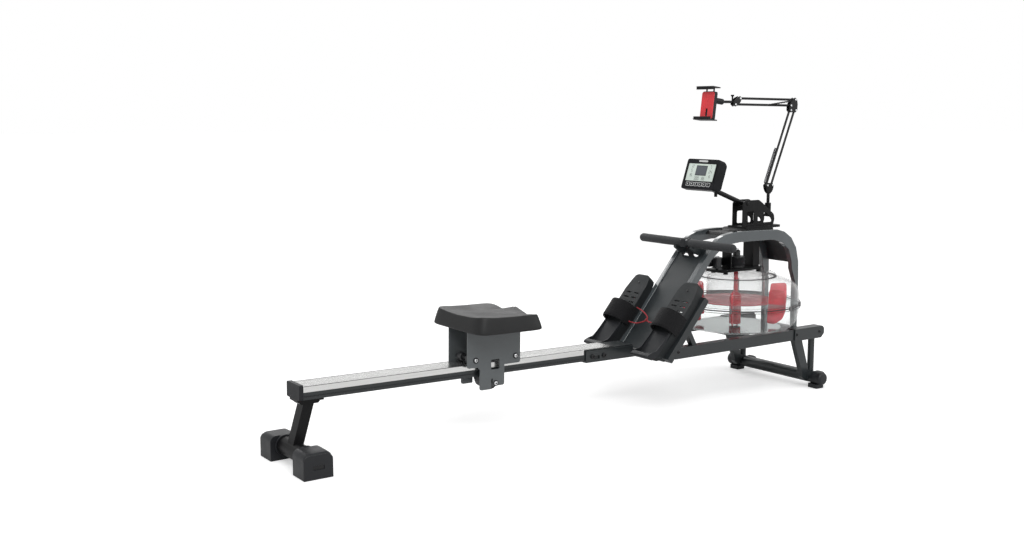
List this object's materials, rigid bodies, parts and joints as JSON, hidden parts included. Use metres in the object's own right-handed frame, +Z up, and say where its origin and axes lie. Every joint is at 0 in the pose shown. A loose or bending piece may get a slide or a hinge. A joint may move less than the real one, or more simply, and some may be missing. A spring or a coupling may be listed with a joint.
{
  "type": "water rowing machine",
  "caption": "Rowing machine with a sliding seat on one low rail, a round water tank with paddles under twin arches, footplates, a pull handle, a console and a folding phone arm.",
  "frame": {"origin": "centre of the bounding box's bottom, on the floor", "axes": "+X forward along the rail from its rear end to the transport wheels, +Y to the rower's left, +Z up"},
  "size_m": [2.1478, 0.484, 1.1257],
  "materials": {
    "frame_paint": "satin powder coat",
    "rail_steel": "brushed",
    "carriage_paint": "satin powder coat",
    "black_plastic": "fine grain",
    "roller_plastic": "smooth",
    "pad_skin": "soft moulded skin",
    "wheel_rubber": "matt",
    "webbing": "woven",
    "red_cord": "braided",
    "clear_plastic": "clear polished",
    "lid_plastic": "smooth",
    "water": "clear",
    "red_plastic": "translucent",
    "clamp_plastic": "smooth",
    "button": "smooth",
    "arm_paint": "satin",
    "spring_steel": "bright",
    "grip_rubber": "foam grip"
  },
  "bodies": {
    "frame": {"rail_beam": "frame_paint", "rail_track": "rail_steel", "rail_end_stop": "black_plastic", "rear_stand": "frame_paint", "rear_cap_left": "black_plastic", "rear_cap_right": "black_plastic", "rail_receiver": "frame_paint", "lower_beam_left": "frame_paint", "lower_beam_right": "frame_paint", "front_stand": "frame_paint", "front_cap_left": "black_plastic", "front_cap_right": "black_plastic", "arch_left": "frame_paint", "arch_right": "frame_paint", "front_fender": "black_plastic", "foot_board": "black_plastic", "tank_cradle": "frame_paint", "tank_bowl": "clear_plastic", "tank_dome": "clear_plastic", "tank_lid": "lid_plastic", "tank_water": "water", "drive_bracket": "frame_paint", "footplate_left": "black_plastic", "footplate_right": "black_plastic", "foot_strap_left": "webbing", "foot_strap_right": "webbing", "heel_cord": "red_cord", "console_bracket": "frame_paint", "pull_strap": "webbing"},
    "seat": {"seat_carriage": "carriage_paint", "seat_pad": "pad_skin"},
    "seat_wheels_rear": {"roller_set_rear": "roller_plastic"},
    "seat_wheels_front": {"roller_set_front": "roller_plastic"},
    "seat_wheel_under": {"lower_roller": "roller_plastic"},
    "heel_cup_left": {"heel_slider_left": "black_plastic"},
    "heel_cup_right": {"heel_slider_right": "black_plastic"},
    "wheel_left": {"transport_wheel_left": "wheel_rubber"},
    "wheel_right": {"transport_wheel_right": "wheel_rubber"},
    "rotor": {"impeller": "red_plastic"},
    "drum": {"drive_drum": "roller_plastic"},
    "guide": {"guide_pulley": "roller_plastic"},
    "handle": {"pull_handle": "grip_rubber"},
    "console_boom": {"console_arm": "arm_paint"},
    "console": {"console_housing": "black_plastic"},
    "key_1": {"console_button_1": "button"},
    "key_2": {"console_button_2": "button"},
    "key_3": {"console_button_3": "button"},
    "key_4": {"console_button_4": "button"},
    "key_5": {"console_button_5": "button"},
    "key_6": {"console_button_6": "button"},
    "arm_swivel": {"arm_base": "arm_paint"},
    "arm_lower_rear": {"lower_bar_rear": "arm_paint", "arm_spring": "spring_steel"},
    "arm_lower_front": {"lower_bar_front": "arm_paint"},
    "arm_joint": {"arm_elbow": "arm_paint"},
    "arm_upper_top": {"upper_bar_top": "arm_paint"},
    "arm_upper_bottom": {"upper_bar_bottom": "arm_paint"},
    "arm_tip": {"arm_head": "arm_paint"},
    "phone_holder": {"phone_clamp": "clamp_plastic"},
    "phone_jaw": {"clamp_jaw": "clamp_plastic"}
  },
  "joints": [
    {"name": "seat_slide", "type": "slide", "parent": "frame", "child": "seat", "axis": [0.9999, 0, -0.0115], "range_m": [-0.5, 0.33]},
    {"name": "seat_wheels_rear_spin", "type": "hinge", "parent": "seat", "child": "seat_wheels_rear", "pos_m": [-0.43431, 0, 0.25241], "axis": [0, 1, 0], "range_deg": [-2000, 1350]},
    {"name": "seat_wheels_front_spin", "type": "hinge", "parent": "seat", "child": "seat_wheels_front", "pos_m": [-0.28132, 0, 0.25065], "axis": [0, 1, 0], "range_deg": [-2000, 1350]},
    {"name": "seat_wheel_under_spin", "type": "hinge", "parent": "seat", "child": "seat_wheel_under", "pos_m": [-0.35926, 0, 0.16994], "axis": [0, 1, 0], "range_deg": [-800, 1200]},
    {"name": "heel_left_slide", "type": "slide", "parent": "frame", "child": "heel_cup_left", "axis": [0.6455, 0, 0.7638], "range_m": [0, 0.06]},
    {"name": "heel_right_slide", "type": "slide", "parent": "frame", "child": "heel_cup_right", "axis": [0.6455, 0, 0.7638], "range_m": [0, 0.06]},
    {"name": "wheel_left_spin", "type": "hinge", "parent": "frame", "child": "wheel_left", "pos_m": [1.05055, 0.177, 0.0285], "axis": [0, 1, 0], "continuous": true},
    {"name": "wheel_right_spin", "type": "hinge", "parent": "frame", "child": "wheel_right", "pos_m": [1.05055, -0.177, 0.0285], "axis": [0, 1, 0], "continuous": true},
    {"name": "rotor_spin", "type": "hinge", "parent": "frame", "child": "rotor", "pos_m": [0.77155, 0, 0.34], "axis": [0, 0, 1], "continuous": true},
    {"name": "handle_pull", "type": "slide", "parent": "frame", "child": "handle", "axis": [-1, 0, 0], "range_m": [0, 1.05], "stiffness_N_per_m": 15, "springref_m": -0.4},
    {"name": "drum_spin", "type": "hinge", "parent": "frame", "child": "drum", "pos_m": [0.77155, 0, 0.48], "axis": [0, 0, 1], "range_deg": [0, 2170]},
    {"name": "guide_spin", "type": "hinge", "parent": "frame", "child": "guide", "pos_m": [0.67155, 0, 0.478], "axis": [0, 0, 1], "range_deg": [0, 3380]},
    {"name": "console_boom_tilt", "type": "hinge", "parent": "frame", "child": "console_boom", "pos_m": [0.79755, 0, 0.693], "axis": [0, 1, 0], "range_deg": [-15, 10]},
    {"name": "console_tilt", "type": "hinge", "parent": "console_boom", "child": "console", "pos_m": [0.61155, 0, 0.762], "axis": [0, 1, 0], "range_deg": [-15, 15]},
    {"name": "key_1_press", "type": "slide", "parent": "console", "child": "key_1", "axis": [0.9489, 0, -0.3156], "range_m": [0, 0.0012], "stiffness_N_per_m": 800},
    {"name": "key_2_press", "type": "slide", "parent": "console", "child": "key_2", "axis": [0.9489, 0, -0.3156], "range_m": [0, 0.0012], "stiffness_N_per_m": 800},
    {"name": "key_3_press", "type": "slide", "parent": "console", "child": "key_3", "axis": [0.9489, 0, -0.3156], "range_m": [0, 0.0012], "stiffness_N_per_m": 800},
    {"name": "key_4_press", "type": "slide", "parent": "console", "child": "key_4", "axis": [0.9489, 0, -0.3156], "range_m": [0, 0.0012], "stiffness_N_per_m": 800},
    {"name": "key_5_press", "type": "slide", "parent": "console", "child": "key_5", "axis": [0.9489, 0, -0.3156], "range_m": [0, 0.0012], "stiffness_N_per_m": 800},
    {"name": "key_6_press", "type": "slide", "parent": "console", "child": "key_6", "axis": [0.9489, 0, -0.3156], "range_m": [0, 0.0012], "stiffness_N_per_m": 800},
    {"name": "arm_swivel_turn", "type": "hinge", "parent": "frame", "child": "arm_swivel", "pos_m": [0.93355, 0, 0.757], "axis": [0, 0, 1], "range_deg": [-90, 90]},
    {"name": "arm_lower_tilt", "type": "hinge", "parent": "arm_swivel", "child": "arm_lower_rear", "pos_m": [0.92005, 0, 0.757], "axis": [0, 1, 0], "range_deg": [-30, 25]},
    {"name": "arm_lower_front_tilt", "type": "hinge", "parent": "arm_swivel", "child": "arm_lower_front", "pos_m": [0.94705, 0, 0.757], "axis": [0, 1, 0], "range_deg": [-30, 25]},
    {"name": "arm_joint_level", "type": "hinge", "parent": "arm_lower_rear", "child": "arm_joint", "pos_m": [1.03705, 0, 1.04], "axis": [0, 1, 0], "range_deg": [-25, 30]},
    {"name": "arm_upper_tilt", "type": "hinge", "parent": "arm_joint", "child": "arm_upper_top", "pos_m": [1.06105, 0, 1.08], "axis": [0, 1, 0], "range_deg": [-15, 40]},
    {"name": "arm_upper_bottom_tilt", "type": "hinge", "parent": "arm_joint", "child": "arm_upper_bottom", "pos_m": [1.03705, 0, 1.058], "axis": [0, 1, 0], "range_deg": [-15, 40]},
    {"name": "arm_tip_level", "type": "hinge", "parent": "arm_upper_top", "child": "arm_tip", "pos_m": [0.76305, 0, 1.083], "axis": [0, 1, 0], "range_deg": [-40, 15]},
    {"name": "phone_holder_turn", "type": "hinge", "parent": "arm_tip", "child": "phone_holder", "pos_m": [0.67825, 0, 1.0698], "axis": [0, 0, 1], "range_deg": [-25, 25]},
    {"name": "phone_jaw_open", "type": "slide", "parent": "phone_holder", "child": "phone_jaw", "axis": [0.1219, 0, 0.9925], "range_m": [0, 0.045], "stiffness_N_per_m": 120, "springref_m": -0.02}
  ],
  "couplings": [
    {"joint": "seat_wheels_rear_spin", "follows": "seat_slide", "rad_per_m": 66.667},
    {"joint": "seat_wheels_front_spin", "follows": "seat_slide", "rad_per_m": 66.667},
    {"joint": "seat_wheel_under_spin", "follows": "seat_slide", "rad_per_m": -40},
    {"joint": "drum_spin", "follows": "handle_pull", "rad_per_m": 35.842},
    {"joint": "guide_spin", "follows": "handle_pull", "rad_per_m": 55.866},
    {"joint": "arm_lower_front_tilt", "follows": "arm_lower_tilt", "ratio": 1},
    {"joint": "arm_joint_level", "follows": "arm_lower_tilt", "ratio": -1},
    {"joint": "arm_upper_bottom_tilt", "follows": "arm_upper_tilt", "ratio": 1},
    {"joint": "arm_tip_level", "follows": "arm_upper_tilt", "ratio": -1}
  ]
}
